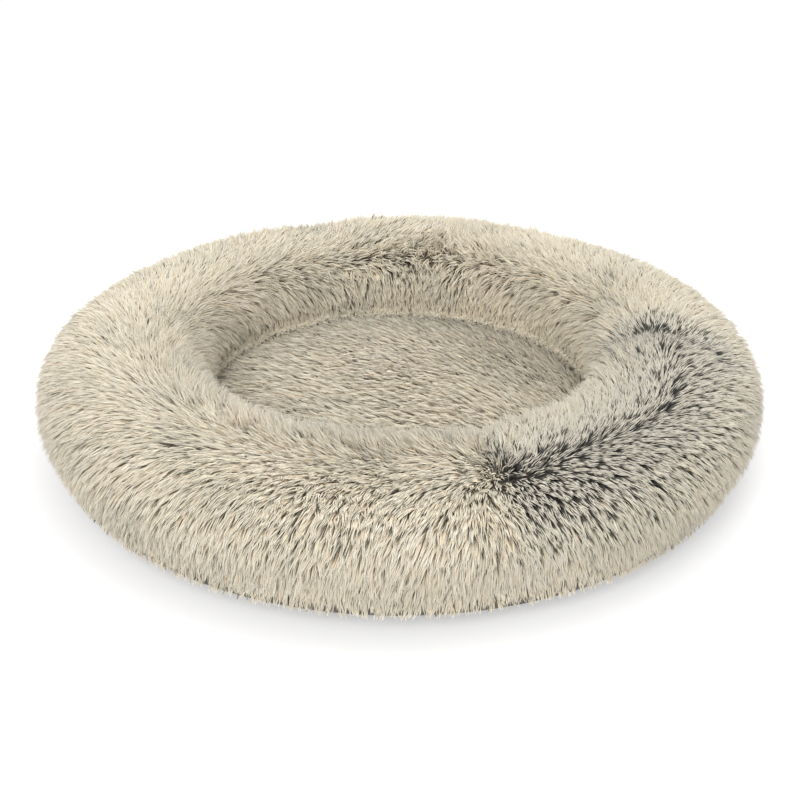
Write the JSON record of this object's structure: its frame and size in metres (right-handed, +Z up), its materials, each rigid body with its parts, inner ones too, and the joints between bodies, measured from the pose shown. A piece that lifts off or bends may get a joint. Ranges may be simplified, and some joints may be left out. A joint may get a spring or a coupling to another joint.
{
  "type": "donut pet bed",
  "caption": "Round plush pet bed: a ring bolster round a lower sleeping pad, on a flat non-slip base with a zip in its seam.",
  "frame": {"origin": "middle of the flat underside, on the floor", "axes": "+Z up; -Y towards the side shown in the picture; +X to its right"},
  "size_m": [0.7598, 0.7598, 0.142],
  "materials": {
    "plush_pile": "long shaggy pile",
    "sleep_pile": "long shaggy pile",
    "base_cloth": "woven, with rubber dots",
    "divider_cloth": "plain weave",
    "binding_tape": "ribbed tape",
    "liner_cloth": "non-woven",
    "fibre": "loose fibre",
    "zip_tape_cloth": "woven tape",
    "zip_resin": "moulded, semi-matt",
    "zip_metal": "plain metal"
  },
  "bodies": {
    "bed": {"rim_cover_left": "plush_pile", "rim_cover_right": "plush_pile", "sleep_panel": "sleep_pile", "base_panel": "base_cloth", "divider_wall": "divider_cloth", "inner_seam_binding": "binding_tape", "base_seam_binding": "binding_tape", "bolster_liner": "liner_cloth", "bolster_fill": "fibre", "pad_liner": "liner_cloth", "pad_fill": "fibre", "zip_tape_inner": "zip_tape_cloth", "zip_tape_outer": "zip_tape_cloth", "zip_teeth_inner": "zip_resin", "zip_teeth_outer": "zip_resin", "zip_top_stop_inner": "zip_metal", "zip_top_stop_outer": "zip_metal", "zip_bottom_stop": "zip_metal"},
    "slider": {"zip_slider": "zip_metal"},
    "pull": {"zip_pull": "zip_metal"}
  },
  "joints": [
    {"name": "zip_travel", "type": "hinge", "parent": "bed", "child": "slider", "pos_m": [0, 0, 0], "axis": [0, 0, 1], "range_deg": [0, 54.3], "deforming": ["zip_teeth_inner", "zip_teeth_outer"]},
    {"name": "pull_swing", "type": "hinge", "parent": "slider", "child": "pull", "pos_m": [0.23723, 0.24287, 0.00556], "axis": [-0.652, -0.6675, -0.3598], "range_deg": [0, 178]}
  ]
}
